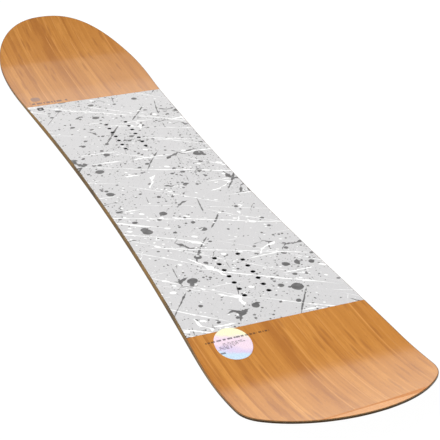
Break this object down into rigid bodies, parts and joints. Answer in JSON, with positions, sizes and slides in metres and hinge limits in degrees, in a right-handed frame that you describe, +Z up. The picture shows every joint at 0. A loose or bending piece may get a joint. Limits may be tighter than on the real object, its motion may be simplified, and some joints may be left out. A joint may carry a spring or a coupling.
{
  "type": "snowboard",
  "caption": "Directional snowboard without bindings: laminated wood core, steel edges, plastic base, wood veneer nose and tail, pale printed middle and threaded inserts.",
  "frame": {"origin": "under the middle of the board's length, on the surface that the flat middle of the base rests on", "axes": "+Y towards the nose, +X to the right seen from the tail, +Z up out of the deck"},
  "size_m": [0.2986, 1.588, 0.0597],
  "materials": {
    "veneer": "satin clear-coated wood veneer",
    "panel": "satin printed plastic top sheet",
    "laminate": "resin-soaked glass cloth",
    "light_wood": "bare light core wood",
    "dark_wood": "bare dark core wood",
    "sidewall": "sanded plastic",
    "spacer": "sanded plastic",
    "steel": "ground steel",
    "insert": "blackened steel",
    "base": "stone-ground sintered plastic",
    "sticker": "glossy pearly film"
  },
  "bodies": {
    "root": {"base_sheet": "base", "core_strip_left_1": "dark_wood", "core_strip_left_2": "light_wood", "core_strip_left_3": "dark_wood", "core_strip_left_4": "light_wood", "core_strip_left_5": "dark_wood", "core_strip_middle": "light_wood", "core_strip_right_1": "dark_wood", "core_strip_right_2": "light_wood", "core_strip_right_3": "dark_wood", "core_strip_right_4": "light_wood", "core_strip_right_5": "dark_wood", "edge_left": "steel", "edge_right": "steel", "insert_front_left_1": "insert", "insert_front_left_2": "insert", "insert_front_left_3": "insert", "insert_front_left_4": "insert", "insert_front_left_5": "insert", "insert_front_left_6": "insert", "insert_front_left_7": "insert", "insert_front_right_1": "insert", "insert_front_right_2": "insert", "insert_front_right_3": "insert", "insert_front_right_4": "insert", "insert_front_right_5": "insert", "insert_front_right_6": "insert", "insert_front_right_7": "insert", "insert_rear_left_1": "insert", "insert_rear_left_2": "insert", "insert_rear_left_3": "insert", "insert_rear_left_4": "insert", "insert_rear_left_5": "insert", "insert_rear_left_6": "insert", "insert_rear_left_7": "insert", "insert_rear_right_1": "insert", "insert_rear_right_2": "insert", "insert_rear_right_3": "insert", "insert_rear_right_4": "insert", "insert_rear_right_5": "insert", "insert_rear_right_6": "insert", "insert_rear_right_7": "insert", "lower_laminate": "laminate", "sidewall_left": "sidewall", "sidewall_right": "sidewall", "sticker": "sticker", "tip_spacer_nose": "spacer", "tip_spacer_tail": "spacer", "topsheet_centre_panel": "panel", "topsheet_nose_veneer": "veneer", "topsheet_tail_veneer": "veneer", "upper_laminate": "laminate"}
  },
  "joints": []
}
